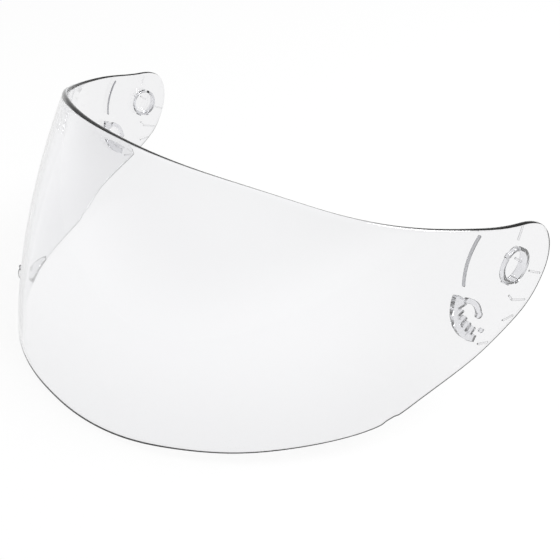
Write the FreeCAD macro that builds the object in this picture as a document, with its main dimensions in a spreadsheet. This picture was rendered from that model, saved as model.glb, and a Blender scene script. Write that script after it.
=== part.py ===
import FreeCAD, Part
import Sketcher
import math
import os

# Clear face shield of a motorcycle helmet, with the fittings on the inner faces of its two arms.
# Millimetres. X runs along the pivot axis to the wearer's left, the front of the shield faces -Y, Z is up.
# The origin is the middle of the pivot axis. "Ahead" is the distance towards -Y, "up" is Z.

DOC = FreeCAD.newDocument("face_shield")

SIZES = (
    # the outer surface: a level section at the pivot height, and how it changes with height
    ("half_width", 120.0),
    ("reach", 104.5),
    ("side_crown_radius", 267.0),
    ("front_crown_radius", 210.0),
    ("side_lean_share", 0.088),
    ("front_lean_share", 0.53),
    ("side_power_share", 2.28),
    ("front_power_share", 1.86),
    ("arm_join_share", 0.1),
    # the side outline
    ("brow_height", 34.0),
    ("chin_depth", 62.0),
    ("arm_end", 17.0),
    # the moulded wall
    ("wall", 2.1),
    # the lift tab on the lower edge, with a round bead at its tip
    ("tab_length", 18.0),
    ("tab_width", 7.2),
    ("tab_thickness", 2.0),
    ("tab_side", 83.8),
    ("tab_height", 56.8),
    ("bead_diameter", 2.4),
    ("bead_height", 3.0),
    # the nick in the lower edge of each arm
    ("nick_length", 4.0),
    ("nick_depth", 0.9),
    ("nick_ahead", 50.0),
    # the low bars moulded on the inner face round the pivot
    ("bar_width", 0.8),
    ("bar_height", 0.4),
    # the pivot ring
    ("ring_outer_diameter", 13.8),
    ("ring_bore_diameter", 11.3),
    ("ring_height", 1.9),
    ("ring_slot", 2.4),
    ("lug_width", 1.5),
    ("lug_height", 0.6),
    # the guide rib
    ("rib_radius", 24.6),
    ("rib_width", 0.8),
    ("rib_height", 0.8),
    # the rim of the detent sector, an arc about a centre of its own
    ("rim_centre_radius", 14.2),
    ("rim_outer_radius", 17.5),
    ("rim_width", 2.6),
    ("sector_height", 1.6),
    # its teeth, and the heel that carries the finger
    ("tooth_tip_radius", 26.0),
    ("tooth_root_radius", 29.4),
    ("tooth_root", 2.5),
    ("tooth_tip", 1.2),
    ("heel_radius", 23.2),
    ("heel_outer_radius", 27.6),
    # the sprung finger beside the teeth
    ("finger_width", 1.9),
    ("finger_height", 1.5),
    ("finger_curve_radius", 9.2),
    ("finger_clearance", 0.3),
    ("finger_lift", 0.3),
    ("nub_diameter", 2.6),
    # the stop post
    ("post_radius_from_pivot", 26.0),
    ("post_diameter", 1.8),
    ("post_height", 1.2),
    # the bond between the wall and what stands on it, and how far a cutting shape runs past its work
    ("bond", 0.05),
    ("overrun", 16.0),
)

# Angles in degrees about the pivot, from straight ahead, positive upwards
ANGLES = (
    ("rib_start_angle", -1.0),
    ("rib_end_angle", 42.5),
    ("rim_centre_angle", -39.5),
    ("rim_start_angle", 19.0),
    ("rim_end_angle", -67.0),
    ("heel_start_angle", -11.5),
    ("heel_end_angle", -18.5),
    ("first_tooth_angle", -22.0),
    ("tooth_pitch_angle", 8.0),
    ("finger_root_angle", -16.8),
    ("finger_curve_start_angle", 109.6),
    ("finger_curve_sweep_angle", 66.0),
    ("post_angle", -57.0),
    ("slot_angle", 114.0),
    ("tab_turn_angle", 40.0),
)
LUG_ANGLES = (48.0, -58.0, -101.0)
TEETH = 4

# The side outline, as shares of the reach ahead and of the brow height or the chin depth upwards
TOP_EDGE_SHARES = (
    (1.317, 1.0),
    (0.798, 1.0),
    (0.69, 0.945),
    (0.571, 0.824),
    (0.405, 0.693),
    (0.207, 0.586),
    (0.018, 0.487),
)
LOW_EDGE_SHARES = (
    (0.003, -0.398),
    (0.135, -0.513),
    (0.241, -0.589),
    (0.383, -0.709),
    (0.484, -0.808),
    (0.613, -0.862),
    (0.756, -0.891),
    (0.939, -0.928),
    (1.076, -0.952),
    (1.173, -0.983),
    (1.23, -1.0),
    (1.327, -1.051),
)
# The round end of an arm, as shares of the arm end behind the pivot and upwards
ARM_END_SHARES = ((-0.265, 0.93), (-0.806, 0.649), (-1.0, 0.0), (-0.869, -0.506), (-0.473, -1.096))

# Low bars on the inner face: both ends, ahead of the pivot and up, as shares of the arm end
BAR_SHARES = (
    ((-0.457, -0.265), (-0.84, -0.44)),
    ((0.11, -0.67), (0.0, -0.814)),
    ((0.0, -0.814), (-0.47, -0.98)),
    ((0.2, -1.27), (-0.15, -1.27)),
    ((0.9, -1.6), (0.58, -1.68)),
    ((-0.106, 0.853), (0.012, 0.59)),
    ((0.06, 0.2), (-0.15, 0.05)),
)
# Heights of the level sections that carry the surface, as shares of brow height plus chin depth
SECTION_SHARES = (-0.78, -0.5, -0.24, 0.0, 0.24, 0.48)
SECTION_POINTS = 9
# Where the straight arm of a level section has its points, as shares of its length
ARM_POINT_SHARES = (0.35, 0.7, 1.0)
# A first guess at the height of the lower edge, as a share of the chin depth
EDGE_GUESS_SHARE = 0.8
FIT = 1e-4

sheet = DOC.addObject("Spreadsheet::Sheet", "Sizes")
for row, (name, value) in enumerate(SIZES + ANGLES, start=1):
    sheet.set(f"A{row}", name)
    sheet.set(f"B{row}", str(value))
    sheet.setAlias(f"B{row}", name)
DOC.recompute()


def size(name):
    return float(sheet.get(name))


def point(ahead, up, side=0.0):
    return FreeCAD.Vector(side, -ahead, up)


def feature(label, shape):
    made = DOC.addObject("Part::Feature", label)
    made.Label = label
    made.Shape = shape
    return made


# The outer surface


def half_width_at(up):
    lean = size("side_lean_share") * up
    return size("half_width") - lean - up * up / (2 * size("side_crown_radius"))


def reach_at(up):
    lean = size("front_lean_share") * up
    return size("reach") - lean - up * up / (2 * size("front_crown_radius"))


def half_section(up):
    """Side and ahead of the points of half a level section, from the centre line back to behind the arm's end.

    The front is (side / half width) ** side power + (ahead / reach) ** front power = 1, and the arm runs on
    straight from where it joins that curve.
    """
    width, reach = half_width_at(up), reach_at(up)
    side_power, front_power = size("side_power_share"), size("front_power_share")
    join = size("arm_join_share")
    turn_end = math.acos(join ** (front_power / 2))
    points = []
    for step in range(SECTION_POINTS):
        turn = turn_end * step / (SECTION_POINTS - 1)
        side = width * math.sin(turn) ** (2 / side_power)
        ahead = reach * math.cos(turn) ** (2 / front_power)
        points.append((side, ahead))
    join_side, join_ahead = points[-1]
    slope = width / reach * front_power / side_power * join ** (front_power - 1)
    slope /= (join_side / width) ** (side_power - 1)
    back = join_ahead + size("arm_end") + size("overrun")
    for share in ARM_POINT_SHARES:
        points.append((join_side + slope * back * share, join_ahead - back * share))
    return points


def outer_skin():
    """The outer surface, through level sections."""
    rows = []
    for share in SECTION_SHARES:
        up = share * (size("brow_height") + size("chin_depth"))
        half = half_section(up)
        right = [point(ahead, up, -side) for side, ahead in reversed(half[1:])]
        left = [point(ahead, up, side) for side, ahead in half]
        rows.append(right + left)
    surface = Part.BSplineSurface()
    surface.interpolate(rows)
    return surface.toShape()


SKIN = outer_skin()


def inward_sign():
    """The sign of an offset that moves the skin inwards, from the skin's normal in the middle of the front."""
    low_u, high_u, low_v, high_v = SKIN.Faces[0].ParameterRange
    normal = SKIN.Faces[0].normalAt((low_u + high_u) / 2, (low_v + high_v) / 2)
    return 1 if normal.y > 0 else -1


INWARD = inward_sign()


def layer(start_depth, end_depth):
    """The solid between two depths below the outer surface. A negative depth lies outside it."""
    start = SKIN.makeOffsetShape(INWARD * start_depth, FIT) if start_depth else SKIN
    return start.makeOffsetShape(INWARD * (end_depth - start_depth), FIT, fill=True)


# The shield: the wall, cut to its side outline


def side_outline():
    """The closed side outline, on the middle plane."""
    reach, brow, chin, end = size("reach"), size("brow_height"), size("chin_depth"), size("arm_end")
    top = [point(a * reach, u * brow) for a, u in TOP_EDGE_SHARES]
    rear = [point(a * end, u * end) for a, u in ARM_END_SHARES]
    low = [point(a * reach, u * chin) for a, u in LOW_EDGE_SHARES]
    edge = Part.BSplineCurve()
    edge.interpolate(top + rear + low)
    front = Part.LineSegment(low[-1], top[0])
    return Part.Wire([edge.toShape(), front.toShape()])


def across(face):
    """A face of the middle plane, carried right through both arms."""
    span = size("half_width") + size("overrun")
    face.translate(FreeCAD.Vector(-span, 0, 0))
    return face.extrude(FreeCAD.Vector(2 * span, 0, 0))


def bar(start, end, width):
    """A bar across both arms between two points given ahead and up."""
    first, last = point(*start), point(*end)
    along = (last - first).normalize()
    square = FreeCAD.Vector(0, -along.z, along.y) * (width / 2)
    corners = [first + square, last + square, last - square, first - square]
    return across(Part.Face(Part.makePolygon(corners + corners[:1])))


def lower_edge_at(ahead):
    """Height of the lower edge at a distance ahead of the pivot, along the outline."""
    reach, chin = size("reach"), size("chin_depth")
    line = Part.BSplineCurve()
    line.interpolate([point(a * reach, u * chin) for a, u in LOW_EDGE_SHARES])
    return line.value(line.parameter(point(ahead, -chin * EDGE_GUESS_SHARE))).z


def make_shield():
    wall = size("wall")
    solid = layer(0, wall).common(across(Part.Face(side_outline())))
    end = size("arm_end")
    bar_layer = layer(wall / 2, wall + size("bar_height"))
    bars = []
    for start, stop in BAR_SHARES:
        ends = [(a * end, u * end) for a, u in (start, stop)]
        bars.append(bar(*ends, size("bar_width")).common(bar_layer))
    solid = solid.fuse(bars)
    half = size("nick_length") / 2
    ends = [(ahead, lower_edge_at(ahead)) for ahead in (size("nick_ahead") - half, size("nick_ahead") + half)]
    solid = solid.cut(bar(*ends, 2 * size("nick_depth"))).fuse(lift_tab())
    return solid.removeSplitter().Solids[0]


def lift_tab():
    """A rounded tab that stands out from the lower edge on the wearer's right, with a round bead at its tip."""
    half_length, width = size("tab_length") / 2, size("tab_width")
    side, drop = size("tab_side"), size("tab_height")
    across_share = (side / half_width_at(-drop)) ** size("side_power_share")
    ahead = reach_at(-drop) * (1 - across_share) ** (1 / size("front_power_share"))
    upright = FreeCAD.Vector(0, 0, 1)
    ellipse = Part.Ellipse(FreeCAD.Vector(), half_length, width)
    plate = Part.Face(Part.Wire(ellipse.toShape())).extrude(upright * size("tab_thickness"))
    radius = size("bead_diameter") / 2
    tip = FreeCAD.Vector(0, radius - width, 0)
    plate = plate.fuse(Part.makeCylinder(radius, size("bead_height"), tip, upright))
    plate.rotate(FreeCAD.Vector(), upright, -size("tab_turn_angle"))
    plate.translate(point(ahead, -drop, -side))
    return plate.common(layer(size("wall") / 2, -size("overrun")))


# Sketched fittings. They are drawn on the side plane, where a sketch's right is rearwards and its up is up.


def new_body(label):
    body = DOC.addObject("PartDesign::Body", label)
    body.Label = label
    return body


def origin_part(body, role):
    return next(part for part in body.Origin.OriginFeatures if part.Role == role)


def new_sketch(body, name, turn="0", level="Sizes.half_width - Sizes.wall - Sizes.overrun"):
    """A sketch on the body's side plane, at a level on the pivot axis where its pads or pockets start.

    Its right points away from the pivot at the angle that turn gives, taken from straight ahead, upwards positive.
    """
    sketch = body.newObject("Sketcher::SketchObject", name)
    sketch.AttachmentSupport = [(origin_part(body, "YZ_Plane"), "")]
    sketch.MapMode = "FlatFace"
    sketch.AttachmentOffset = FreeCAD.Placement(FreeCAD.Vector(), FreeCAD.Rotation(FreeCAD.Vector(0, 0, 1), 180))
    sketch.setExpression("AttachmentOffset.Base.z", level)
    sketch.setExpression("AttachmentOffset.Rotation.Angle", f"(180 - ({turn})) * 1 deg")
    return sketch


def worth(rule):
    """The value of an expression on the sheet."""
    return float(sheet.evalExpression(rule))


def bind(sketch, name, kind, *places, rule):
    """Adds a measured constraint and ties it to an expression on the sheet."""
    unit = " * 1 deg" if kind == "Angle" else ""
    start = math.radians(worth(rule)) if kind == "Angle" else worth(rule)
    index = sketch.addConstraint(Sketcher.Constraint(kind, *places, start))
    sketch.renameConstraint(index, name)
    sketch.setExpression("Constraints." + name, f"({rule}){unit}")


def add_circle(sketch, radius, centre=None):
    """A circle about the pivot, or about a centre given as two rules: outwards and across."""
    spot = FreeCAD.Vector(*[worth(rule) for rule in centre], 0) if centre else FreeCAD.Vector()
    ring = sketch.addGeometry(Part.Circle(spot, FreeCAD.Vector(0, 0, 1), worth(radius)))
    bind(sketch, f"radius_{ring}", "Radius", ring, rule=radius)
    if centre:
        bind(sketch, f"out_{ring}", "DistanceX", -1, 1, ring, 3, rule=centre[0])
        bind(sketch, f"across_{ring}", "DistanceY", -1, 1, ring, 3, rule=centre[1])
    else:
        sketch.addConstraint(Sketcher.Constraint("Coincident", ring, 3, -1, 1))


def add_band(sketch, inner, outer, sweep, centre=None):
    """An arc band that starts on the sketch's right and sweeps away from it, about the pivot or another centre."""
    spot = FreeCAD.Vector(*[worth(rule) for rule in centre], 0) if centre else FreeCAD.Vector()
    end = math.radians(worth(sweep))
    arcs = []
    for radius in (inner, outer):
        round_line = Part.Circle(spot, FreeCAD.Vector(0, 0, 1), worth(radius))
        arc = sketch.addGeometry(Part.ArcOfCircle(round_line, 0, end))
        bind(sketch, f"radius_{arc}", "Radius", arc, rule=radius)
        arcs.append(arc)
    lines = []
    for turn in (0, end):
        ray = FreeCAD.Vector(math.cos(turn), math.sin(turn), 0)
        lines.append(sketch.addGeometry(Part.LineSegment(spot + ray * worth(inner), spot + ray * worth(outer))))
    for line, arc_end in zip(lines, (1, 2)):
        sketch.addConstraint(Sketcher.Constraint("Coincident", line, 1, arcs[0], arc_end))
        sketch.addConstraint(Sketcher.Constraint("Coincident", line, 2, arcs[1], arc_end))
    sketch.addConstraint(Sketcher.Constraint("Coincident", arcs[0], 3, arcs[1], 3))
    sketch.addConstraint(Sketcher.Constraint("Horizontal", lines[0]))
    bind(sketch, "sweep", "Angle", lines[1], rule=sweep)
    if centre:
        bind(sketch, "out", "DistanceX", -1, 1, arcs[0], 3, rule=centre[0])
        bind(sketch, "across", "DistanceY", -1, 1, arcs[0], 3, rule=centre[1])
    else:
        sketch.addConstraint(Sketcher.Constraint("Coincident", arcs[0], 3, -1, 1))


def add_spoke(sketch, near, far, near_width, far_width):
    """A spoke along the sketch's right, from near to far, with its own width at each end."""
    near_at, far_at = worth(near), worth(far)
    near_half, far_half = worth(near_width) / 2, worth(far_width) / 2
    corners = ((near_at, -near_half), (far_at, -far_half), (far_at, far_half), (near_at, near_half))
    sides = []
    for start, end in zip(corners, corners[1:] + corners[:1]):
        segment = Part.LineSegment(FreeCAD.Vector(*start, 0), FreeCAD.Vector(*end, 0))
        sides.append(sketch.addGeometry(segment))
    for side, after in zip(sides, sides[1:] + sides[:1]):
        sketch.addConstraint(Sketcher.Constraint("Coincident", side, 2, after, 1))
    below, far_side, above, near_side = sides
    sketch.addConstraint(Sketcher.Constraint("Symmetric", far_side, 1, far_side, 2, -1))
    sketch.addConstraint(Sketcher.Constraint("Symmetric", near_side, 1, near_side, 2, -1))
    bind(sketch, "near", "DistanceX", -1, 1, below, 1, rule=near)
    bind(sketch, "far", "DistanceX", -1, 1, below, 2, rule=far)
    bind(sketch, "near_width", "Distance", near_side, rule=near_width)
    bind(sketch, "far_width", "Distance", far_side, rule=far_width)


def pad(body, sketch):
    """Pads a sketch through the wall's place. What stands inside or outside its layer is cut off later."""
    made = body.newObject("PartDesign::Pad", sketch.Name + "_pad")
    made.Profile = sketch
    made.setExpression("Length", "2 * Sizes.overrun")
    body.Tip = made
    DOC.recompute()
    return made


def pocket(body, sketch, length="2 * Sizes.overrun"):
    made = body.newObject("PartDesign::Pocket", sketch.Name + "_pocket")
    made.Profile = sketch
    made.setExpression("Length", length)
    made.Reversed = True
    before = body.Shape.Volume
    body.Tip = made
    DOC.recompute()
    if not body.Shape.Volume < before:
        raise RuntimeError(f"{sketch.Name} cuts nothing")
    return made


def polar_row(body, source, copies, sweep):
    """Copies a feature round the pivot axis."""
    made = body.newObject("PartDesign::PolarPattern", source.Name + "_row")
    made.Originals = [source]
    made.Axis = (origin_part(body, "X_Axis"), [""])
    made.Occurrences = copies
    made.setExpression("Angle", sweep)
    body.Tip = made
    DOC.recompute()
    return made


def pivot_ring_blank():
    """The ring that turns on the helmet's hub: three lugs outside, a slot for assembly, and an end square to X."""
    body = new_body("pivot_ring_blank")
    end = "Sizes.half_width - Sizes.wall - Sizes.ring_height"
    tube = new_sketch(body, "ring_tube", level=end)
    add_circle(tube, "Sizes.ring_outer_diameter / 2")
    pad(body, tube)
    for number, angle in enumerate(LUG_ANGLES, start=1):
        lug = new_sketch(body, f"ring_lug_{number}", str(angle), end)
        add_spoke(lug, "Sizes.ring_bore_diameter / 2", "Sizes.ring_outer_diameter / 2 + Sizes.lug_height",
                  "Sizes.lug_width", "Sizes.lug_width")
        pad(body, lug)
    bore = new_sketch(body, "ring_bore", level=end)
    add_circle(bore, "Sizes.ring_bore_diameter / 2")
    pocket(body, bore)
    slot = new_sketch(body, "ring_slot", "Sizes.slot_angle", end)
    add_spoke(slot, "Sizes.ring_bore_diameter / 2 - Sizes.ring_slot", "Sizes.ring_outer_diameter",
              "Sizes.ring_slot", "Sizes.ring_slot")
    pocket(body, slot)
    return body


def guide_rib_blank():
    """The thin arc rib ahead of the pivot."""
    body = new_body("guide_rib_blank")
    arc = new_sketch(body, "rib_arc", "Sizes.rib_end_angle")
    add_band(arc, "Sizes.rib_radius - Sizes.rib_width / 2", "Sizes.rib_radius + Sizes.rib_width / 2",
             "Sizes.rib_end_angle - Sizes.rib_start_angle")
    pad(body, arc)
    return body


def detent_sector_blank():
    """The rim below the guide rib, with teeth that point at the pivot and a heel that carries the sprung finger."""
    body = new_body("detent_sector_blank")
    rim = new_sketch(body, "sector_rim", "Sizes.rim_start_angle")
    lean = "(Sizes.rim_start_angle - Sizes.rim_centre_angle) * 1 deg"
    add_band(rim, "Sizes.rim_outer_radius - Sizes.rim_width", "Sizes.rim_outer_radius",
             "Sizes.rim_start_angle - Sizes.rim_end_angle",
             (f"Sizes.rim_centre_radius * cos({lean})", f"Sizes.rim_centre_radius * sin({lean})"))
    pad(body, rim)
    heel = new_sketch(body, "sector_heel", "Sizes.heel_start_angle")
    add_band(heel, "Sizes.heel_radius", "Sizes.heel_outer_radius", "Sizes.heel_start_angle - Sizes.heel_end_angle")
    pad(body, heel)
    tooth = new_sketch(body, "sector_tooth", "Sizes.first_tooth_angle")
    add_spoke(tooth, "Sizes.tooth_tip_radius", "Sizes.tooth_root_radius", "Sizes.tooth_tip", "Sizes.tooth_root")
    first = pad(body, tooth)
    polar_row(body, first, TEETH, f"Sizes.tooth_pitch_angle * {TEETH - 1}")
    seat = new_sketch(body, "finger_seat", "Sizes.finger_root_angle")
    add_circle(seat, "Sizes.finger_width / 2 + Sizes.finger_clearance", ("Sizes.heel_radius", "0 mm"))
    pocket(body, seat)
    return body


def detent_finger_blank():
    """The sprung finger: a round root in the heel's seat, a curved arm and a round nub at its free end."""
    body = new_body("detent_finger_blank")
    root = new_sketch(body, "finger_root", "Sizes.finger_root_angle")
    add_circle(root, "Sizes.finger_width / 2", ("Sizes.heel_radius", "0 mm"))
    pad(body, root)
    turn = "Sizes.finger_curve_start_angle + Sizes.finger_curve_sweep_angle"
    root_turn = f"(Sizes.finger_root_angle - {turn.replace('+', '-')}) * 1 deg"
    sweep = "Sizes.finger_curve_sweep_angle * 1 deg"
    out = f"Sizes.heel_radius * cos({root_turn}) - Sizes.finger_curve_radius * cos({sweep})"
    side = f"-Sizes.heel_radius * sin({root_turn}) - Sizes.finger_curve_radius * sin({sweep})"
    arm = new_sketch(body, "finger_arm", turn)
    add_band(arm, "Sizes.finger_curve_radius - Sizes.finger_width / 2",
             "Sizes.finger_curve_radius + Sizes.finger_width / 2", "Sizes.finger_curve_sweep_angle", (out, side))
    pad(body, arm)
    nub = new_sketch(body, "finger_nub", turn)
    add_circle(nub, "Sizes.nub_diameter / 2", (out + " + Sizes.finger_curve_radius", side))
    pad(body, nub)
    return body


def stop_post_blank():
    """The small round post beyond the last tooth."""
    body = new_body("stop_post_blank")
    post = new_sketch(body, "post_circle", "Sizes.post_angle")
    add_circle(post, "Sizes.post_diameter / 2", ("Sizes.post_radius_from_pivot", "0 mm"))
    pad(body, post)
    return body


# Each blank is cut to its height above the wall, and the wearer's right gets its mirror image


def cut_to_layer(blank, lift, height):
    """Keeps what lies between two heights above the wall's inner face."""
    foot = size("wall") + size("bond")
    return blank.common(layer(foot + lift, foot + height))


FITTINGS = (
    ("pivot_ring", cut_to_layer(pivot_ring_blank().Shape, 0, size("overrun"))),
    ("guide_rib", cut_to_layer(guide_rib_blank().Shape, 0, size("rib_height"))),
    ("detent_sector", cut_to_layer(detent_sector_blank().Shape, 0, size("sector_height"))),
    ("detent_finger", cut_to_layer(detent_finger_blank().Shape, size("finger_lift"), size("finger_height"))),
    ("stop_post", cut_to_layer(stop_post_blank().Shape, 0, size("post_height"))),
)

pieces = [feature("shield", make_shield())]
for name, shape in FITTINGS:
    left = feature(f"{name}_left", shape)
    right = DOC.addObject("Part::Mirroring", f"{name}_right")
    right.Source = left
    right.Normal = FreeCAD.Vector(1, 0, 0)
    right.Label = f"{name}_right"
    pieces += [left, right]
DOC.recompute()

for made in DOC.Objects:
    if "Invalid" in made.State or "Error" in made.State:
        raise RuntimeError(f"{made.Label} did not build")
for piece in pieces:
    if piece.Shape.isNull() or not piece.Shape.isValid() or len(piece.Shape.Solids) != 1:
        raise RuntimeError(f"{piece.Label} is not one valid solid")

os.makedirs("parts", exist_ok=True)
for piece in pieces:
    piece.Shape.exportStep(f"parts/{piece.Label}.step")
    print(piece.Label, round(piece.Shape.Volume, 1), piece.Shape.optimalBoundingBox(False, False))
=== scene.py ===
import bmesh
import bpy
import math
import numpy as np
from mathutils import Matrix, Vector


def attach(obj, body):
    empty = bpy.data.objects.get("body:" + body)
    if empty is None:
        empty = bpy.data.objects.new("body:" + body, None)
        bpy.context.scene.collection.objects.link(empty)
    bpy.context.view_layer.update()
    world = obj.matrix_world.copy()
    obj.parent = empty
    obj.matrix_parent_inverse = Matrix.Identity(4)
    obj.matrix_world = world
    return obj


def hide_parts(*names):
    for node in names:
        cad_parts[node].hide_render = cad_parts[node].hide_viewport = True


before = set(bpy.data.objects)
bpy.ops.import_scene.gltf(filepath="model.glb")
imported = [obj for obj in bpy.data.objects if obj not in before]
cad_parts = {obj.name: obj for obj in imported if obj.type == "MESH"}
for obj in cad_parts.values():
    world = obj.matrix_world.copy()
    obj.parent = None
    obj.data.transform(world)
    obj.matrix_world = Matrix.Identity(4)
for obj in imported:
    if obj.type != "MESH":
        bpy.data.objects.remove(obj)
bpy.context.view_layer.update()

# Clear face shield of a motorcycle helmet. X runs along the pivot axis to the wearer's left, the front
# faces -Y. Shapes are worked out in millimetres and put into the meshes in metres. "Ahead" is the distance
# towards -Y, "up" is Z, both from the middle of the pivot axis.
MM = 0.001

# The outer surface: a level section at the pivot height, and how it changes with height
HALF_WIDTH = 120.0
REACH = 104.5
SIDE_CROWN_RADIUS = 267.0
FRONT_CROWN_RADIUS = 210.0
SIDE_LEAN_SHARE = 0.088
FRONT_LEAN_SHARE = 0.53
SIDE_POWER = 2.28
FRONT_POWER = 1.86
ARM_JOIN_SHARE = 0.1
TURN_END = math.acos(ARM_JOIN_SHARE ** (FRONT_POWER / 2))

# The side outline: heights and depths of its ends, and its points as shares of them
BROW_HEIGHT = 34.0
CHIN_DEPTH = 62.0
ARM_END = 17.0
TOP_EDGE_SHARES = (
    (1.317, 1.0), (0.798, 1.0), (0.69, 0.945), (0.571, 0.824), (0.405, 0.693), (0.207, 0.586), (0.018, 0.487),
)
ARM_END_SHARES = ((-0.265, 0.93), (-0.806, 0.649), (-1.0, 0.0), (-0.869, -0.506), (-0.473, -1.096))
LOW_EDGE_SHARES = (
    (0.003, -0.398), (0.135, -0.513), (0.241, -0.589), (0.383, -0.709), (0.484, -0.808), (0.613, -0.862),
    (0.756, -0.891), (0.939, -0.928), (1.076, -0.952), (1.173, -0.983), (1.23, -1.0), (1.327, -1.051),
)

# The moulded wall, its rounded rim, and the nick in each lower edge
WALL = 2.1
TOP_ROUND = 0.9
LOW_ROUND = 0.75
ROUND_BLEND = 14.0
NICK_AHEAD = 50.0
NICK_LENGTH = 4.0
NICK_DEPTH = 0.9
NICK_CORNER = 2.5

# The lift tab on the wearer's right, and the round bead at its tip
TAB_LENGTH = 18.0
TAB_WIDTH = 7.2
TAB_THICKNESS = 2.0
TAB_CORNER = 0.5
TAB_AHEAD = 92.2
TAB_TURN = math.radians(40.0)
TAB_OUTWARD = (-math.sin(TAB_TURN), -math.cos(TAB_TURN), 0.0)
BEAD_DIAMETER = 2.4
BEAD_HEIGHT = 3.0

# The fittings on the inner face of each arm stand clear of the wall by the bond
BOND = 0.05
SMALL_ROUND = 0.2

# The low bars: both ends, ahead and up, as shares of the arm end
BAR_WIDTH = 0.8
BAR_HEIGHT = 0.4
BAR_SHARES = (
    ((-0.457, -0.265), (-0.84, -0.44)),
    ((0.11, -0.67), (0.0, -0.814)),
    ((0.0, -0.814), (-0.47, -0.98)),
    ((0.2, -1.27), (-0.15, -1.27)),
    ((0.9, -1.6), (0.58, -1.68)),
    ((-0.106, 0.853), (0.012, 0.59)),
    ((0.06, 0.2), (-0.15, 0.05)),
)

# The pivot ring, with its end square to X, three lugs and a slot
RING_OUTER_RADIUS = 6.9
RING_BORE_RADIUS = 5.65
RING_HEIGHT = 1.9
RING_SLOT = 2.4
SLOT_ANGLE = 114.0
LUG_ANGLES = (48.0, -58.0, -101.0)
LUG_WIDTH = 1.5
LUG_HEIGHT = 0.6

# The guide rib
RIB_RADIUS = 24.6
RIB_WIDTH = 0.8
RIB_HEIGHT = 0.8
RIB_ANGLES = (-1.0, 42.5)

# The detent sector: a rim about a centre of its own, teeth that point at the pivot, and the finger's heel
RIM_CENTRE_RADIUS = 14.2
RIM_CENTRE_ANGLE = -39.5
RIM_RADIUS = 17.5
RIM_WIDTH = 2.6
RIM_ANGLES = (-67.0, 19.0)
SECTOR_HEIGHT = 1.6
TOOTH_TIP_RADIUS = 26.0
TOOTH_ROOT_RADIUS = 29.4
TOOTH_ROOT = 2.5
TOOTH_TIP = 1.2
TOOTH_ANGLES = (-22.0, -30.0, -38.0, -46.0)
HEEL_RADIUS = 23.2
HEEL_OUTER_RADIUS = 27.6
HEEL_ANGLES = (-18.5, -11.5)

# The sprung finger and its nub
FINGER_WIDTH = 1.9
FINGER_HEIGHT = 1.5
FINGER_LIFT = 0.3
FINGER_CLEARANCE = 0.3
FINGER_ROOT_ANGLE = -16.8
FINGER_CURVE_RADIUS = 9.2
FINGER_CURVE_ANGLES = (109.6, 175.6)
NUB_DIAMETER = 2.6

# The stop post
POST_RADIUS_FROM_PIVOT = 26.0
POST_ANGLE = -57.0
POST_DIAMETER = 1.8
POST_HEIGHT = 1.2

# How finely the shield is divided: its grid, the steps of a quarter round, and the close rows above its
# lower edge
COLUMNS = 560
ROWS = 64
ROUND_STEPS = 4
EDGE_ROWS = 10
EDGE_ROW_GAP = 0.3

# How finely the fittings are divided: stations along each path, rays across the sector and how near its
# centre they end, and sides of the bead
STATIONS = 160
RING_STATIONS = 480
SECTOR_STATIONS = 700
SECTOR_RAYS = 900
RAY_END = 2.0
POST_STATIONS = 40
BAR_STATIONS = 80
BEAD_SIDES = 64

# How finely curves are sampled before they are divided, how far in turn the table of lengths runs past the
# arm's join, and the step for slopes and normals
TABLE_SAMPLES = 20001
TABLE_SPARE = 0.5
OUTLINE_SAMPLES = 6001
PLACE_SAMPLES = 4001
SLOPE_STEP = 0.05

# Points nearer than the merge gap become one and edges shorter than the least edge go, both in metres.
# Edges that bend more than the sharp angle stay sharp.
MERGE_GAP = 1e-7
LEAST_EDGE = 1e-8
SHARP_ANGLE = math.radians(40.0)

POLYCARBONATE_IOR = 1.585


# The shield's surface


def half_width_at(up):
    """Half width at a height: half width - lean * up - up ** 2 / (2 * crown radius)."""
    return HALF_WIDTH - SIDE_LEAN_SHARE * up - up * up / (2 * SIDE_CROWN_RADIUS)


def reach_at(up):
    """Reach at a height: reach - lean * up - up ** 2 / (2 * crown radius)."""
    return REACH - FRONT_LEAN_SHARE * up - up * up / (2 * FRONT_CROWN_RADIUS)


def outer_point(turn, up):
    """Point of the outer surface, as arrays.

    The front of a level section is (side / half width) ** side power + (ahead / reach) ** front power = 1,
    taken at an angle of turn. Past the end turn the arm runs straight on, by one reach for each further
    unit of turn.
    """
    width, reach = half_width_at(up), reach_at(up)
    bent = np.minimum(np.abs(turn), TURN_END)
    straight = np.abs(turn) - bent
    side = width * np.sin(bent) ** (2 / SIDE_POWER)
    ahead = reach * np.cos(bent) ** (2 / FRONT_POWER)
    side = side + arm_slope(width, reach) * straight * reach
    ahead = ahead - straight * reach
    return np.stack([np.sign(turn) * side, -ahead, up + 0 * side], axis=-1)


def arm_slope(width, reach):
    """How fast the straight arm moves outwards on its way back: the section's slope at the arm's join."""
    join_share = math.sin(TURN_END) ** (2 / SIDE_POWER)
    slope = width / reach * FRONT_POWER / SIDE_POWER * ARM_JOIN_SHARE ** (FRONT_POWER - 1)
    return slope / join_share ** (SIDE_POWER - 1)


def turn_at(side, ahead, up):
    """The turn at which the outer surface passes a point close to it."""
    share = np.maximum(ahead / reach_at(up), 0.0)
    bent = np.arctan2((np.abs(side) / half_width_at(up)) ** (SIDE_POWER / 2), share ** (FRONT_POWER / 2))
    straight = TURN_END + ARM_JOIN_SHARE - ahead / reach_at(up)
    return np.sign(side) * np.where(ahead / reach_at(up) > ARM_JOIN_SHARE, bent, straight)


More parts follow.
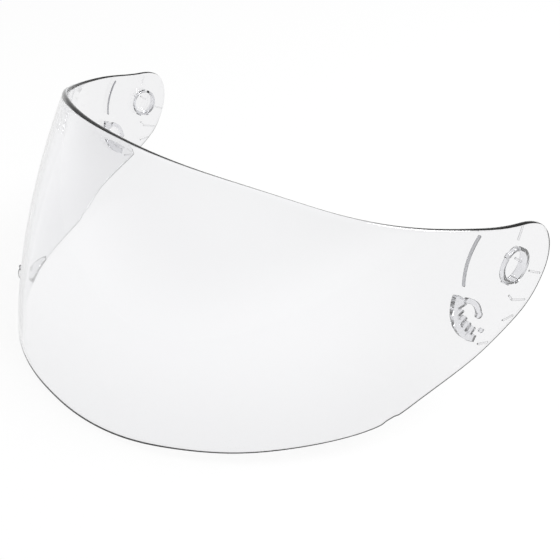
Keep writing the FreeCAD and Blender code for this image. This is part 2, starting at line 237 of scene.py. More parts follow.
# A table from the distance along the level section in the middle of the height, to the turn
MIDDLE_UP = (BROW_HEIGHT - CHIN_DEPTH) / 2
TABLE_TURN = np.linspace(0.0, TURN_END + ARM_JOIN_SHARE + TABLE_SPARE, TABLE_SAMPLES)
TABLE_STEP = np.diff(outer_point(TABLE_TURN, np.full(TABLE_TURN.shape, MIDDLE_UP)), axis=0)
TABLE_LENGTH = np.concatenate([[0.0], np.cumsum(np.linalg.norm(TABLE_STEP, axis=1))])


def skin(along, up):
    """Point of the outer surface at a distance along the middle section from the front, plus to the left."""
    return outer_point(np.sign(along) * np.interp(np.abs(along), TABLE_LENGTH, TABLE_TURN), up)


def along_at(side, ahead, up):
    """Distance along of a point close to the outer surface, by its turn."""
    turn = turn_at(side, ahead, up)
    return np.sign(turn) * np.interp(np.abs(turn), TABLE_TURN, TABLE_LENGTH)


def outward(along, up):
    """Unit normals of the outer surface, from differences over a short step."""
    across = skin(along + SLOPE_STEP, up) - skin(along - SLOPE_STEP, up)
    upwards = skin(along, up + SLOPE_STEP) - skin(along, up - SLOPE_STEP)
    normal = np.cross(across, upwards)
    return normal / np.linalg.norm(normal, axis=-1, keepdims=True)


def arm_side(ahead, up, depth):
    """Side distance of an arm's point at a depth: the outer surface's, less depth / normal's X."""

    def surface(ahead_place, up_place):
        """Side distance of the outer surface itself."""
        width, reach = half_width_at(up_place), reach_at(up_place)
        share = np.clip(ahead_place / reach, ARM_JOIN_SHARE, 1.0)
        bent = width * (1 - share ** FRONT_POWER) ** (1 / SIDE_POWER)
        return bent + arm_slope(width, reach) * np.maximum(ARM_JOIN_SHARE * reach - ahead_place, 0.0)

    step = SLOPE_STEP
    ahead_slope = (surface(ahead + step, up) - surface(ahead - step, up)) / (2 * step)
    up_slope = (surface(ahead, up + step) - surface(ahead, up - step)) / (2 * step)
    return surface(ahead, up) - depth * np.sqrt(1 + ahead_slope ** 2 + up_slope ** 2)


def spline(knots, samples):
    """A smooth cubic curve through the knots, spaced by their distances, with free ends."""
    knots = np.array(knots, float)
    span = np.linalg.norm(np.diff(knots, axis=0), axis=1)
    place = np.concatenate([[0.0], np.cumsum(span)])
    count = len(knots)
    system = np.eye(count)
    bends = np.zeros_like(knots)
    for i in range(1, count - 1):
        system[i, i - 1:i + 2] = span[i - 1], 2 * (span[i - 1] + span[i]), span[i]
        bends[i] = 6 * ((knots[i + 1] - knots[i]) / span[i] - (knots[i] - knots[i - 1]) / span[i - 1])
    curve = np.linalg.solve(system, bends)
    at = np.linspace(0.0, place[-1], samples)
    left = np.clip(np.searchsorted(place, at, side="right") - 1, 0, count - 2)
    gap = span[left][:, None]
    after = (at - place[left])[:, None]
    before = gap - after
    line = knots[left] * before / gap + knots[left + 1] * after / gap
    bow = curve[left] * (before ** 3 / gap - gap * before) + curve[left + 1] * (after ** 3 / gap - gap * after)
    return line + bow / 6


def side_outline():
    """The outline seen from the side, from the brow round the arm's end to the chin, as ahead and up."""
    top = [(a * REACH, u * BROW_HEIGHT) for a, u in TOP_EDGE_SHARES]
    rear = [(a * ARM_END, u * ARM_END) for a, u in ARM_END_SHARES]
    low = [(a * REACH, u * CHIN_DEPTH) for a, u in LOW_EDGE_SHARES]
    return spline(top + rear + low, OUTLINE_SAMPLES)


def half_outline():
    """The top edge and the lower edge on the wearer's left, front first.

    Each has rows of distance along, up, and the outline's own direction there, ahead and up.
    """
    outline = side_outline()
    course = np.gradient(outline, axis=0)
    course /= np.linalg.norm(course, axis=1, keepdims=True)
    inside = outline[:, 0] <= reach_at(outline[:, 1])
    (ahead, up), course = outline[inside].T, course[inside]
    width, share = half_width_at(up), np.clip(ahead / reach_at(up), 0.0, 1.0)
    side = width * (1 - share ** FRONT_POWER) ** (1 / SIDE_POWER)
    along = along_at(np.maximum(side, 1e-9), ahead, up)
    rows = np.column_stack([along, up, course])
    end = int(np.argmax(along))
    return rows[:end + 1], rows[end:][::-1]


TOP_EDGE, LOW_EDGE = half_outline()
EDGE_END = TOP_EDGE[-1, 0]


def edge_up(edge, along):
    """Height of an edge at a distance along."""
    return np.interp(np.abs(along), edge[:, 0], edge[:, 1])


def trim_normal(edge, along):
    """Normal of the trimmed rim. The wall is trimmed straight across X, square to the side outline."""
    ahead, up = [np.interp(np.abs(along), edge[:, 0], edge[:, column]) for column in (2, 3)]
    return np.stack([0 * up, -up, -ahead], axis=1)


def smooth_step(share):
    """A smooth rise from 0 to 1: share ** 2 * (3 - 2 * share), with the share kept between 0 and 1."""
    share = np.clip(share, 0.0, 1.0)
    return share * share * (3 - 2 * share)


def bump_share(offset, half_length, corner):
    """1 inside a stretch, 0 outside, with a smooth step of the corner's length at each end."""
    return smooth_step((half_length - np.abs(offset)) / corner + 0.5)


def along_of_ahead(edge, ahead):
    """Distance along at which an edge passes a distance ahead of the pivot."""
    spots = skin(edge[:, 0], edge[:, 1])
    order = np.argsort(-spots[:, 1])
    return float(np.interp(ahead, -spots[order, 1], edge[order, 0]))


NICK_ALONG = along_of_ahead(LOW_EDGE, NICK_AHEAD)
TAB_ALONG = -along_of_ahead(LOW_EDGE, TAB_AHEAD)
# Places along that need close columns: where, half the stretch, and how many more columns
CLOSE_PLACES = (
    (NICK_ALONG, NICK_LENGTH, 4.0),
    (-NICK_ALONG, NICK_LENGTH, 4.0),
    (TAB_ALONG, TAB_LENGTH / 2, 2.0),
    (TAB_ALONG - TAB_LENGTH / 2, TAB_LENGTH / 8, 6.0),
    (TAB_ALONG + TAB_LENGTH / 2, TAB_LENGTH / 8, 6.0),
)


def column_places():
    """Distances along of the grid's columns: close together at the arm ends, the nicks and the tab's ends."""
    angle = np.linspace(-math.pi / 2, math.pi / 2, PLACE_SAMPLES)
    places = EDGE_END * np.sin(angle)
    density = np.ones(places.shape)
    for spot, half, gain in CLOSE_PLACES:
        density += gain * bump_share(places - spot, half, half)
    weight = np.concatenate([[0.0], np.cumsum((density[1:] + density[:-1]) / 2)])
    picked = np.interp(np.linspace(0.0, weight[-1], COLUMNS + 1), weight, places)
    picked[[0, -1]] = -EDGE_END, EDGE_END
    return picked


# Meshes


def add_mesh(name, points, faces, material, smooth=True):
    """An object from points in millimetres and faces given as rows of point numbers."""
    mesh = bpy.data.meshes.new(name)
    mesh.from_pydata((np.asarray(points) * MM).tolist(), [], [list(map(int, face)) for face in faces])
    mesh.validate()
    mesh.polygons.foreach_set("use_smooth", [smooth] * len(mesh.polygons))
    mesh.materials.append(material)
    made = bpy.data.objects.new(name, mesh)
    bpy.context.scene.collection.objects.link(made)
    return made


def quads(rows):
    """Faces between neighbouring rows of point numbers, a 2-D array. A face lists its corners in turn."""
    return np.stack([rows[:-1, :-1], rows[1:, :-1], rows[1:, 1:], rows[:-1, 1:]], axis=-1).reshape(-1, 4)


def clean_mesh(made):
    """Merges points that lie together, turns all faces outwards and keeps edges sharp where faces bend."""
    work = bmesh.new()
    work.from_mesh(made.data)
    bmesh.ops.remove_doubles(work, verts=work.verts, dist=MERGE_GAP)
    bmesh.ops.dissolve_degenerate(work, edges=work.edges, dist=LEAST_EDGE)
    bmesh.ops.recalc_face_normals(work, faces=work.faces)
    for edge in work.edges:
        if len(edge.link_faces) == 2:
            edge.smooth = edge.calc_face_angle() < SHARP_ANGLE
    work.to_mesh(made.data)
    work.free()


def near_edge_rows(height, share):
    """Shares of the height for the grid's rows: a few close rows above the lower edge, then even ones."""
    count = np.arange(EDGE_ROWS)[:, None]
    close = np.minimum(count * EDGE_ROW_GAP / height, 0.5 * count / EDGE_ROWS)
    start = np.minimum(EDGE_ROWS * EDGE_ROW_GAP / height, 0.5)
    return np.concatenate([close, start + (1 - start) * share])


def shield_points():
    """The shield's points and faces.

    Each face is a grid whose columns run from the lower edge to the top edge. The inner face lies one wall
    deeper along the normals. Between the faces the rim runs straight across X in closed rings: a quarter
    round, a flat and a quarter round. The tab pushes the lowest rows outwards.
    """
    along = column_places()
    top, low = edge_up(TOP_EDGE, along), edge_up(LOW_EDGE, along)
    low[[0, -1]] = top[[0, -1]]
    for spot in (NICK_ALONG, -NICK_ALONG):
        low += NICK_DEPTH * bump_share(along - spot, NICK_LENGTH / 2, NICK_CORNER)

    # how round the rim is at each column: its own radius on either edge, blended at the arm ends
    own = smooth_step((EDGE_END - np.abs(along)) / ROUND_BLEND) * (TOP_ROUND - LOW_ROUND) / 2
    low_round, top_round = (TOP_ROUND + LOW_ROUND) / 2 - own, (TOP_ROUND + LOW_ROUND) / 2 + own

    # the closed outline: along the lower edge to the left, then back along the top edge
    loop_along = np.concatenate([along, along[-2:0:-1]])
    loop_up = np.concatenate([low, top[-2:0:-1]])
    loop_round = np.concatenate([low_round, top_round[-2:0:-1]])[:, None]
    rim = skin(loop_along, loop_up)
    normal = outward(loop_along, loop_up)
    tangent = np.roll(rim, -1, axis=0) - np.roll(rim, 1, axis=0)
    tangent /= np.linalg.norm(tangent, axis=1, keepdims=True)
    inward = np.cross(normal, tangent)
    inward /= np.linalg.norm(inward, axis=1, keepdims=True)

    # the way through the rim, for a depth of 1 along the normals
    trim = np.concatenate([trim_normal(LOW_EDGE, along), trim_normal(TOP_EDGE, along[-2:0:-1])])
    through = np.cross(tangent, trim)
    through /= -np.sum(through * normal, axis=1, keepdims=True)

    # how far the tab stands out at each column: half an ellipse
    offset = (along - TAB_ALONG) / (TAB_LENGTH / 2)
    stand = TAB_WIDTH * np.sqrt(np.clip(1 - offset * offset, 0.0, 1.0))
    loop_stand = np.concatenate([stand, np.zeros(len(along) - 2)])[:, None] * np.array(TAB_OUTWARD)

    # each face's grid lies inside the outline by the rim's round
    count = len(along)
    top_index = np.concatenate([[0], np.arange(len(rim) - 1, count - 1, -1), [count - 1]])

    def face_grid(border):
        """Distances along, heights and distances above the lower edge of a face's grid, inside its border."""
        border_along = along_at(border[:, 0], -border[:, 1], border[:, 2])
        low_along, low_up = border_along[:count], border[:count, 2]
        top_along, top_up = border_along[top_index], border[top_index, 2]
        height = np.maximum(top_up - low_up, 1e-6)
        rows = near_edge_rows(height, np.linspace(0.0, 1.0, ROWS + 1)[:, None])
        return low_along + (top_along - low_along) * rows, low_up + (top_up - low_up) * rows, rows * height

    inset = rim + loop_round * inward
    outer_along, outer_up, above = face_grid(inset)
    inner_along, inner_up, _ = face_grid(inset + WALL * (through + normal))
    from_edge = above + low_round
    on_tab = smooth_step((TAB_THICKNESS - from_edge) / TAB_CORNER + 0.5)
    pushed = (stand * on_tab)[..., None] * np.array(TAB_OUTWARD)
    outer = skin(outer_along, outer_up) + pushed
    inner = skin(inner_along, inner_up) - WALL * outward(inner_along, inner_up)

    outer_numbers = np.arange(outer.shape[0] * count).reshape(-1, count)
    inner_numbers = outer_numbers + outer_numbers.size
    points = [outer.reshape(-1, 3), inner.reshape(-1, 3)]
    faces = [quads(outer_numbers.T), quads(inner_numbers)]

    # the rim's rings between the two faces
    def edge_ring(numbers):
        """Point numbers round a grid's border: its first row, then its last row backwards."""
        return np.concatenate([numbers[0], numbers[-1, -2:0:-1]])

    angles = np.linspace(0.0, math.pi / 2, ROUND_STEPS + 1)
    rings = [edge_ring(outer_numbers)]
    start = 2 * outer_numbers.size
    profile = [(a, 0.0, 1.0, 1.0) for a in angles[1:]] + [(a, WALL, -1.0, 0.0) for a in angles[:0:-1]]
    for angle, base_depth, sign, carried in profile:
        inset_by = loop_round * (1 - math.sin(angle))
        depth = base_depth + sign * loop_round * (1 - math.cos(angle))
        points.append(rim + inset_by * inward + carried * loop_stand + depth * through)
        rings.append(np.arange(start, start + len(rim)))
        start += len(rim)
    rings.append(edge_ring(inner_numbers))
    ring_rows = np.array(rings)
    faces.append(quads(np.concatenate([ring_rows, ring_rows[:, :1]], axis=1)))
    return np.concatenate(points), np.concatenate(faces)


# Fittings. Each is a ribbon on an arm: a path ahead and up, a width to each side of it, and a rounded top.


def arc(radius, angles, centre=(0.0, 0.0), count=STATIONS):
    """Path of an arc: centre + radius * (cos, sin), from the first angle to the second."""
    turn = np.radians(np.linspace(angles[0], angles[1], count))
    return np.stack([centre[0] + radius * np.cos(turn), centre[1] + radius * np.sin(turn)], axis=1)


def line(start, end, count):
    """Path of a straight line, as ahead and up."""
    share = np.linspace(0.0, 1.0, count)[:, None]
    return np.array(start) * (1 - share) + np.array(end) * share


def path_length(path):
    """Distance of each station of a path from its start."""
    return np.concatenate([[0.0], np.cumsum(np.linalg.norm(np.diff(path, axis=0), axis=1))])


def rounded_ends(path, half_width, corner):
    """Half widths along a path, which draw in by a quarter round of the corner's radius at both ends."""
    place = path_length(path)
    from_end = np.minimum(place, place[-1] - place)
    share = np.clip(1 - from_end / corner, 0.0, 1.0)
    return np.maximum(half_width - corner * (1 - np.sqrt(1 - share * share)), 0.0)


def disc_width(place, centre, radius):
    """Half width of a disc where a path crosses it: sqrt(radius ** 2 - (place - centre) ** 2)."""
    return np.sqrt(np.maximum(radius * radius - (place - centre) ** 2, 0.0))


def ribbon_points(path, left, right, foot, top, corner):
    """Points and faces of a ribbon on the left arm.

    At each station of the path the section's loop runs up one side, over a quarter round of the corner's
    radius, across the top and down the other side. foot and top give the side distance at a place ahead and
    up.
    """
    tangent = np.gradient(path, axis=0)
    tangent /= np.linalg.norm(tangent, axis=1, keepdims=True)
    across = np.stack([-tangent[:, 1], tangent[:, 0]], axis=1)
    angles = np.linspace(0.0, math.pi / 2, ROUND_STEPS + 1)
    loops = []
    for width, sign in ((left, 1), (right, -1)):
        bend = np.minimum(corner, width)
        section = [(width, None)] + [(width - bend * (1 - np.cos(a)), bend * (1 - np.sin(a))) for a in angles]
        for reach, sink in section[::sign]:
            spot = path + across * (sign * reach)[:, None]
            side = foot(spot) if sink is None else top(spot) + sink
            loops.append(np.stack([side, -spot[:, 0], spot[:, 1]], axis=1))
    grid = np.array(loops)
    numbers = np.arange(grid.shape[0] * grid.shape[1]).reshape(grid.shape[:2])
    closed = np.concatenate([numbers, numbers[:1]])
    caps = [numbers[:, 0], numbers[::-1, -1]]
    return grid.reshape(-1, 3), list(quads(closed)) + caps


def foot_at(lift=0.0):
    """Side distance of the wall's inner face, less the bond and a lift."""
    return lambda spot: arm_side(spot[:, 0], spot[:, 1], WALL + BOND + lift)


def top_at(height):
    """Side distance of a fitting's top, at its height above its foot."""
    return lambda spot: arm_side(spot[:, 0], spot[:, 1], WALL + BOND + height)


def square_top(height):
    """The top of the pivot ring: square to X, at its height above the wall at the pivot."""
    return lambda spot: 0 * spot[:, 0] + HALF_WIDTH - WALL - height


def polar(radius, degrees):
    """Ahead and up of a point at a radius and an angle about the pivot."""
    turn = math.radians(degrees)
    return radius * math.cos(turn), radius * math.sin(turn)


def pivot_ring():
    """The ring: an arc about the pivot from one side of the slot to the other, with smooth lugs outside."""
    middle, half = (RING_OUTER_RADIUS + RING_BORE_RADIUS) / 2, (RING_OUTER_RADIUS - RING_BORE_RADIUS) / 2
    gap = math.degrees(math.asin(RING_SLOT / 2 / middle))
    path = arc(middle, (SLOT_ANGLE - 360 + gap, SLOT_ANGLE - gap), count=RING_STATIONS)
    angle = np.degrees(np.unwrap(np.arctan2(path[:, 1], path[:, 0])))
    inside = rounded_ends(path, half, SMALL_ROUND)
    outside = inside.copy()
    for lug in LUG_ANGLES:
        away = (angle - lug + 180) % 360 - 180
        outside += LUG_HEIGHT * bump_share(np.radians(away) * middle, LUG_WIDTH / 2, SMALL_ROUND)
    return ribbon_points(path, inside, outside, foot_at(), square_top(RING_HEIGHT), SMALL_ROUND)


def guide_rib():
    """The rib: an arc about the pivot, with round ends and a round top."""
    path = arc(RIB_RADIUS, RIB_ANGLES)
    width = rounded_ends(path, RIB_WIDTH / 2, RIB_WIDTH / 2)
    return ribbon_points(path, width, width, foot_at(), top_at(RIB_HEIGHT), RIB_WIDTH / 2)


def sector_inner_radius(angle, centre):
    """Radius about the rim's centre at which the sector begins, for each angle.

    A ray goes inwards from the rim's middle for as long as it stays inside the rim, the heel or a tooth,
    where a tooth is a wedge from its root's width to its tip's and the finger's round seat is cut from the
    heel.
    """
    radii = np.linspace(RIM_RADIUS - RIM_WIDTH / 2, RAY_END, SECTOR_RAYS)
    turn = np.radians(angle)[:, None]
    ahead, up = centre[0] + radii * np.cos(turn), centre[1] + radii * np.sin(turn)
    from_pivot, bearing = np.hypot(ahead, up), np.degrees(np.arctan2(up, ahead))
    inside = radii + 0 * turn >= RIM_RADIUS - RIM_WIDTH
    heel = (from_pivot > HEEL_RADIUS) & (from_pivot < HEEL_OUTER_RADIUS)
    inside |= heel & (bearing > HEEL_ANGLES[0]) & (bearing < HEEL_ANGLES[1])
    for tooth in TOOTH_ANGLES:
        swing = np.radians(bearing - tooth)
        out, aside = from_pivot * np.cos(swing), np.abs(from_pivot * np.sin(swing))
        share = (out - TOOTH_TIP_RADIUS) / (TOOTH_ROOT_RADIUS - TOOTH_TIP_RADIUS)
        inside |= (share > 0) & (share < 1) & (aside < (TOOTH_TIP + (TOOTH_ROOT - TOOTH_TIP) * share) / 2)
    seat = polar(HEEL_RADIUS, FINGER_ROOT_ANGLE)
    inside &= np.hypot(ahead - seat[0], up - seat[1]) > FINGER_WIDTH / 2 + FINGER_CLEARANCE
    run = np.cumprod(inside, axis=1).sum(axis=1)
    return radii[np.maximum(run - 1, 0)]


def detent_sector():
    """The sector: the rim's arc, whose inner width reaches to the tips of the teeth and round the heel."""
    centre = polar(RIM_CENTRE_RADIUS, RIM_CENTRE_ANGLE)
    middle = RIM_RADIUS - RIM_WIDTH / 2
    path = arc(middle, RIM_ANGLES, centre, SECTOR_STATIONS)
    angle = np.linspace(RIM_ANGLES[0], RIM_ANGLES[1], SECTOR_STATIONS)
    outside = rounded_ends(path, RIM_WIDTH / 2, SMALL_ROUND)
    inside = middle - sector_inner_radius(angle, centre)
    return ribbon_points(path, inside, outside, foot_at(), top_at(SECTOR_HEIGHT), SMALL_ROUND)


def detent_finger():
    """The finger: an arc as wide as the larger of its own width and the discs of its root and its nub."""
    root = np.array(polar(HEEL_RADIUS, FINGER_ROOT_ANGLE))
    centre = root - FINGER_CURVE_RADIUS * np.array(polar(1.0, FINGER_CURVE_ANGLES[0]))
    root_reach = math.degrees(FINGER_WIDTH / 2 / FINGER_CURVE_RADIUS)
    nub_reach = math.degrees(NUB_DIAMETER / 2 / FINGER_CURVE_RADIUS)
    angles = (FINGER_CURVE_ANGLES[0] - root_reach, FINGER_CURVE_ANGLES[1] + nub_reach)
    path = arc(FINGER_CURVE_RADIUS, angles, centre)
    place = path_length(path)
    nub_at = place[-1] - NUB_DIAMETER / 2
    arm = np.where((place > FINGER_WIDTH / 2) & (place < nub_at), FINGER_WIDTH / 2, 0.0)
    width = np.maximum(arm, disc_width(place, FINGER_WIDTH / 2, FINGER_WIDTH / 2))
    width = np.maximum(width, disc_width(place, nub_at, NUB_DIAMETER / 2))
    return ribbon_points(path, width, width, foot_at(FINGER_LIFT), top_at(FINGER_HEIGHT), SMALL_ROUND)


def stop_post():
    """The post: a disc, taken as a ribbon along its own diameter."""
    ahead, up = polar(POST_RADIUS_FROM_PIVOT, POST_ANGLE)
    radius = POST_DIAMETER / 2
    place = radius * (1 - np.cos(np.linspace(0.0, math.pi, POST_STATIONS)))
    path = np.stack([ahead - radius + place, up + 0 * place], axis=1)
    width = disc_width(place, radius, radius)
    return ribbon_points(path, width, width, foot_at(), top_at(POST_HEIGHT), SMALL_ROUND)


def low_bar(start, end):
    """A low bar: a straight ribbon between two places."""
    path = line(start, end, BAR_STATIONS)
    width = rounded_ends(path, BAR_WIDTH / 2, SMALL_ROUND)
    return ribbon_points(path, width, width, foot_at(), top_at(BAR_HEIGHT), SMALL_ROUND)


def turned(profile, count, centre):
    """A body turned on an upright axis: each radius and height of the profile, carried round the centre."""
    turn = np.linspace(0.0, 2 * math.pi, count, endpoint=False)
    radius, height = np.array(profile).T
    ring = np.stack([np.cos(turn), np.sin(turn), 0 * turn], axis=1)
    points = centre + radius[:, None, None] * ring + np.array([0, 0, 1]) * height[:, None, None]
    numbers = np.arange(len(profile) * count).reshape(len(profile), count)
    faces = quads(np.concatenate([numbers, numbers[:, :1]], axis=1))
    return points.reshape(-1, 3), faces


# Materials


class Wire:
    """A value carried by a material's nodes. Sums, differences and products on it add Math nodes."""

    def __init__(self, graph, socket):
        self.graph = graph
        self.socket = socket

    def math(self, operation, *values):
        """The result of a Math node."""
        return self.graph.add("ShaderNodeMath", {"operation": operation}, *values)

    def __add__(self, other):
        return self.math("ADD", self, other)

    def __sub__(self, other):
        return self.math("SUBTRACT", self, other)

    def __mul__(self, other):
        return self.math("MULTIPLY", self, other)

    __radd__ = __add__
    __rmul__ = __mul__


class Graph:
    """The nodes of a material or the world."""

    def __init__(self, owner):
        owner.use_nodes = True
        self.tree = owner.node_tree
        self.tree.nodes.clear()

    def add(self, kind, settings=None, *values, out=0, **named):
        """Adds a node: its settings first, then its sockets, by number or by name, and gives one output."""
        node = self.tree.nodes.new(kind)
        for key, value in (settings or {}).items():
            setattr(node, key, value)
        by_name = [(key.replace("_", " "), value) for key, value in named.items()]
        for key, value in list(enumerate(values)) + by_name:
            if isinstance(value, Wire):
                self.tree.links.new(value.socket, node.inputs[key])
            elif value is not None:
                node.inputs[key].default_value = value
        return Wire(self, node.outputs[out]) if node.outputs else node

    def noise(self, scale, detail=2.0):
        """Smooth noise from 0 to 1 over the object, of so many waves to a metre."""
        place = self.add("ShaderNodeTexCoord", out=3)
        return self.add("ShaderNodeTexNoise", {}, place, Scale=scale, Detail=detail)

    def tint(self, share, low, high):
        """A colour between two, by a share from 0 to 1."""
        other_types = [None] * 5
        return self.add("ShaderNodeMix", {"data_type": "RGBA"}, share, *other_types, low, high, out=2)


SMOOTH_RAMP = {"interpolation_type": "SMOOTHSTEP"}

# Where the arms' tint begins and is full, along Y, and where the painted shade at the lower edge is full and
# ends, along Z
ARM_TINT = (-85.0, -30.0)
LOW_PAINTED_SHADE = (-55.0, 20.0)
# Noise in the plastic: how much it changes the share of the tint, and its scales for tint, polish and flow
# waves
TINT_CHANGE = 0.2
TINT_SCALE = 9.0
POLISH_SCALE = 160.0
POLISH_DETAIL = 3.0
WAVE_SCALE = 55.0
WAVE_STRENGTH = 0.25


def clear_plastic(name, low, high, arm, absorption, rough, rough_change, wave_height):
    """Clear moulded polycarbonate.

    It has a faint grey tint, which is darker towards the lower edge as painted shade, and darker on the arms.
    Noise changes the tint and the polish a little. There are faint flow waves, and
    absorption in its depth, given as a colour and a density.
    """
    material = bpy.data.materials.new(name)
    graph = Graph(material)
    place = graph.add("ShaderNodeTexCoord", out=3)
    back = graph.add("ShaderNodeSeparateXYZ", {}, place, out=1)
    height = graph.add("ShaderNodeSeparateXYZ", {}, place, out=2)
    on_arm = graph.add("ShaderNodeMapRange", SMOOTH_RAMP, back, ARM_TINT[0] * MM, ARM_TINT[1] * MM, 0.0, 1.0)
    # Painted shade: the colour darkens towards the lower edge, fully at the start of this range.
    lower_shade_fade = graph.add("ShaderNodeMapRange", {}, height, LOW_PAINTED_SHADE[0] * MM, LOW_PAINTED_SHADE[1] * MM, 0.0, 1.0)
    broad = lower_shade_fade + TINT_CHANGE * (graph.noise(TINT_SCALE) - 0.5)
    fine = graph.noise(POLISH_SCALE, POLISH_DETAIL)
    waves = graph.noise(WAVE_SCALE)
    bump = graph.add("ShaderNodeBump", {}, Strength=WAVE_STRENGTH, Distance=wave_height * MM, Height=waves)
    surface = graph.add(
        "ShaderNodeBsdfPrincipled", {},
        Base_Color=graph.tint(on_arm, graph.tint(broad, low, high), arm),
        Roughness=rough + rough_change * fine,
        Normal=bump,
        IOR=POLYCARBONATE_IOR,
        Transmission_Weight=1.0,
    )
    depth = graph.add("ShaderNodeVolumeAbsorption", {}, Color=absorption[0], Density=absorption[1])
    graph.add("ShaderNodeOutputMaterial", {}, surface, depth)
    return material


# The wall's low colour, darker than its high colour, is painted shade towards the lower edge.
WALL_CLEAR = clear_plastic(
    "clear_wall", low=(0.908, 0.908, 0.918, 1), high=(0.966, 0.966, 0.975, 1), arm=(0.895, 0.894, 0.901, 1),
    absorption=((0.4, 0.44, 0.48, 1), 10.0), rough=0.004, rough_change=0.012, wave_height=0.02,
)
# The fittings' darker grey and denser absorption than the wall's are painted shade, standing in for the shade
# that refraction leaves in them.
FITTING_CLEAR_PAINTED_SHADE = clear_plastic(
    "clear_fitting", low=(0.86, 0.86, 0.88, 1), high=(0.9, 0.9, 0.92, 1), arm=(0.88, 0.88, 0.9, 1),
    absorption=((0.35, 0.37, 0.4, 1), 60.0), rough=0.02, rough_change=0.04, wave_height=0.05,
)
# The rib's mid grey and very dense absorption are painted shade, a dark line standing in for the shade that
# refraction leaves along it.
RIB_CLEAR_PAINTED_SHADE = clear_plastic(
    "clear_rib_painted_shade", low=(0.55, 0.55, 0.57, 1), high=(0.6, 0.6, 0.62, 1), arm=(0.55, 0.55, 0.57, 1),
    absorption=((0.3, 0.32, 0.35, 1), 300.0), rough=0.02, rough_change=0.04, wave_height=0.05,
)


# The pieces


def place_piece(name, shape, material, body, node=None):
    """Adds a piece to a body, in place of a node of the part where one is named."""
    piece = add_mesh(name, *shape, material)
    clean_mesh(piece)
    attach(piece, body)
    if node:
        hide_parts(node)


def on_side(shape, side):
    """A shape of the left arm as it is, or its mirror image for the right arm."""
    points, faces = shape
    return points * np.array([-1.0 if side == "right" else 1.0, 1.0, 1.0]), faces


def joined(shapes):
    """Several shapes as one, with their point numbers carried on."""
    points, faces, start = [], [], 0
    for shape_points, shape_faces in shapes:
        points.append(shape_points)
        faces += [np.asarray(face) + start for face in shape_faces]
        start += len(shape_points)
    return np.concatenate(points), faces


def tab_bead():
    """The bead: a short upright round with domed ends, just inside the tab's tip."""
    radius = BEAD_DIAMETER / 2
    root = skin(np.array([TAB_ALONG]), edge_up(LOW_EDGE, np.array([TAB_ALONG])))[0]
    centre = root + (TAB_WIDTH - radius) * np.array(TAB_OUTWARD)
    angles = np.linspace(0.0, math.pi / 2, 2 * ROUND_STEPS + 1)
    low = [(radius - SMALL_ROUND * (1 - math.sin(a)), SMALL_ROUND * (1 - math.cos(a))) for a in angles]
    profile = [(0.0, 0.0)] + low + [(r, BEAD_HEIGHT - h) for r, h in reversed(low)] + [(0.0, BEAD_HEIGHT)]
    return turned(profile, BEAD_SIDES, centre)


# The fittings of an arm: name, shape on the left, material, and body. The finger's body carries its side's
# name.
FITTINGS = (
    ("pivot_ring", pivot_ring(), FITTING_CLEAR_PAINTED_SHADE, "shield_body"),
    ("guide_rib", guide_rib(), RIB_CLEAR_PAINTED_SHADE, "shield_body"),
    ("detent_sector", detent_sector(), FITTING_CLEAR_PAINTED_SHADE, "shield_body"),
    ("detent_finger", detent_finger(), FITTING_CLEAR_PAINTED_SHADE, None),
    ("stop_post", stop_post(), FITTING_CLEAR_PAINTED_SHADE, "shield_body"),
)

place_piece("shield_shell", shield_points(), WALL_CLEAR, "shield_body", "shield")
place_piece("tab_bead", tab_bead(), WALL_CLEAR, "shield_body")
BARS = joined([low_bar(*[(a * ARM_END, u * ARM_END) for a, u in ends]) for ends in BAR_SHARES])
for side in ("left", "right"):
    place_piece(f"low_bars_{side}", on_side(BARS, side), WALL_CLEAR, "shield_body")
    for name, shape, material, body in FITTINGS:
        node = f"{name}_{side}"
        own_body = body or f"finger_{side}"
        place_piece(f"{node}_rounded", on_side(shape, side), material, own_body, node)


# The stage: floor, light and camera


# The floor lies a gap below the chin. It is seen as plain white, with the shadow share of its lit colour
# mixed in.
FLOOR_GAP = 0.3
FLOOR_UP = -CHIN_DEPTH - FLOOR_GAP
FLOOR_HALF = 6000.0
FLOOR_COLOUR = (0.95, 0.95, 0.95, 1)
SHADOW_SHARE = 0.08
# The room's strength overhead, and the sine of the elevation above which it is that dim
ROOM_LIGHT = 0.4
ROOM_START = 0.35
# The soft round lamp: its place, its diameter and its power in watts
LAMP_PLACE = (800, 560, 1264)
LAMP_ACROSS = 1000
LAMP_POWER = 26.6


def make_floor():
    """A plain white floor. The camera and the clear plastic see it white, with a faint shadow left in it."""
    corners = np.array([(-1, -1, 0), (1, -1, 0), (1, 1, 0), (-1, 1, 0)], float) * FLOOR_HALF + (0, 0, FLOOR_UP)
    material = bpy.data.materials.new("white_floor")
    graph = Graph(material)
    path = graph.tree.nodes.new("ShaderNodeLightPath")
    seen = Wire(graph, path.outputs["Is Camera Ray"]) + Wire(graph, path.outputs["Is Glossy Ray"])
    seen = seen + Wire(graph, path.outputs["Is Transmission Ray"])
    seen = graph.add("ShaderNodeMath", {"operation": "MINIMUM"}, seen, 1.0)
    lit = graph.add("ShaderNodeBsdfDiffuse", {}, FLOOR_COLOUR)
    white = graph.add("ShaderNodeEmission", {}, (1, 1, 1, 1), 1.0)
    both = graph.add("ShaderNodeMixShader", {}, seen * (1 - SHADOW_SHARE), lit, white)
    graph.add("ShaderNodeOutputMaterial", {}, both)
    floor = add_mesh("floor", corners, [(0, 1, 2, 3)], material, smooth=False)


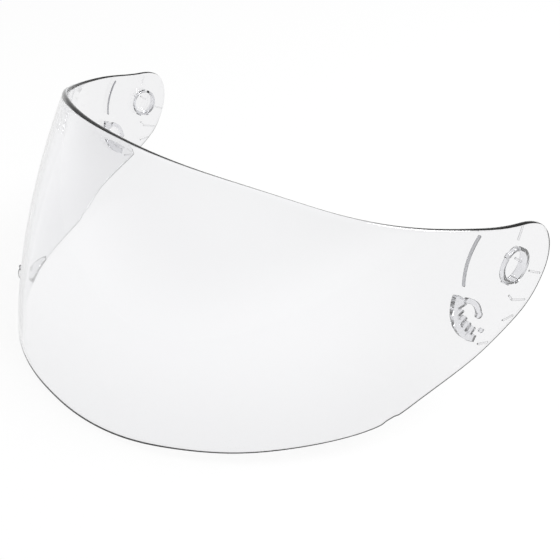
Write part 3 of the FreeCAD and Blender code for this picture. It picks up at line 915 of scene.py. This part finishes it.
def make_world():
    """A dim room above a white horizon, so that the clear edges read against the white floor."""
    world = bpy.data.worlds.new("studio")
    bpy.context.scene.world = world
    graph = Graph(world)
    direction = graph.add("ShaderNodeTexCoord", out=0)
    height = graph.add("ShaderNodeSeparateXYZ", {}, direction, out=2)
    ramp = graph.add("ShaderNodeMapRange", SMOOTH_RAMP, height, 0.0, ROOM_START, 1.0, ROOM_LIGHT)
    light = graph.add("ShaderNodeBackground", {}, (1, 1, 1, 1), ramp)
    graph.add("ShaderNodeOutputWorld", {}, light)


def make_lamp():
    """A soft round lamp, turned towards the middle of the pivot axis.

    It stands where the clear faces don't mirror it towards the camera.
    """
    lamp = bpy.data.lights.new("overhead", "AREA")
    lamp.shape = "DISK"
    lamp.size = LAMP_ACROSS * MM
    lamp.energy = LAMP_POWER
    made = bpy.data.objects.new("overhead", lamp)
    bpy.context.scene.collection.objects.link(made)
    made.location = Vector(LAMP_PLACE) * MM
    made.rotation_euler = (-Vector(LAMP_PLACE)).to_track_quat("-Z", "Y").to_euler()


# Where the photograph was taken from: the camera's direction, roll and place, its lens and the near and far
# limits
CAMERA_AZIMUTH = math.radians(47.282)
CAMERA_ELEVATION = math.radians(32.111)
CAMERA_ROLL = math.radians(0.515)
CAMERA_PLACE = (226.6, -212.91, 133.27)
FOCAL_LENGTH = 47.07
SENSOR = 36.0
NEAREST = 0.01
FARTHEST = 100.0


def make_camera():
    """The camera, whose axes come from its azimuth, elevation and roll."""
    camera = bpy.data.cameras.new("camera")
    camera.sensor_fit = "HORIZONTAL"
    camera.sensor_width = SENSOR
    camera.lens = FOCAL_LENGTH
    camera.clip_start = NEAREST
    camera.clip_end = FARTHEST
    made = bpy.data.objects.new("camera", camera)
    bpy.context.scene.collection.objects.link(made)
    azimuth, elevation = CAMERA_AZIMUTH, CAMERA_ELEVATION
    level = Vector((math.cos(azimuth), math.sin(azimuth), 0))
    flat = math.cos(elevation)
    back = Vector((math.sin(azimuth) * flat, -math.cos(azimuth) * flat, math.sin(elevation)))
    upright = back.cross(level)
    right = level * math.cos(CAMERA_ROLL) + upright * math.sin(CAMERA_ROLL)
    turn = Matrix((right, back.cross(right), back)).transposed()
    made.matrix_world = Matrix.Translation(Vector(CAMERA_PLACE) * MM) @ turn.to_4x4()
    bpy.context.scene.camera = made


make_floor()
make_world()
make_lamp()
make_camera()
bpy.context.scene.view_settings.view_transform = "Standard"
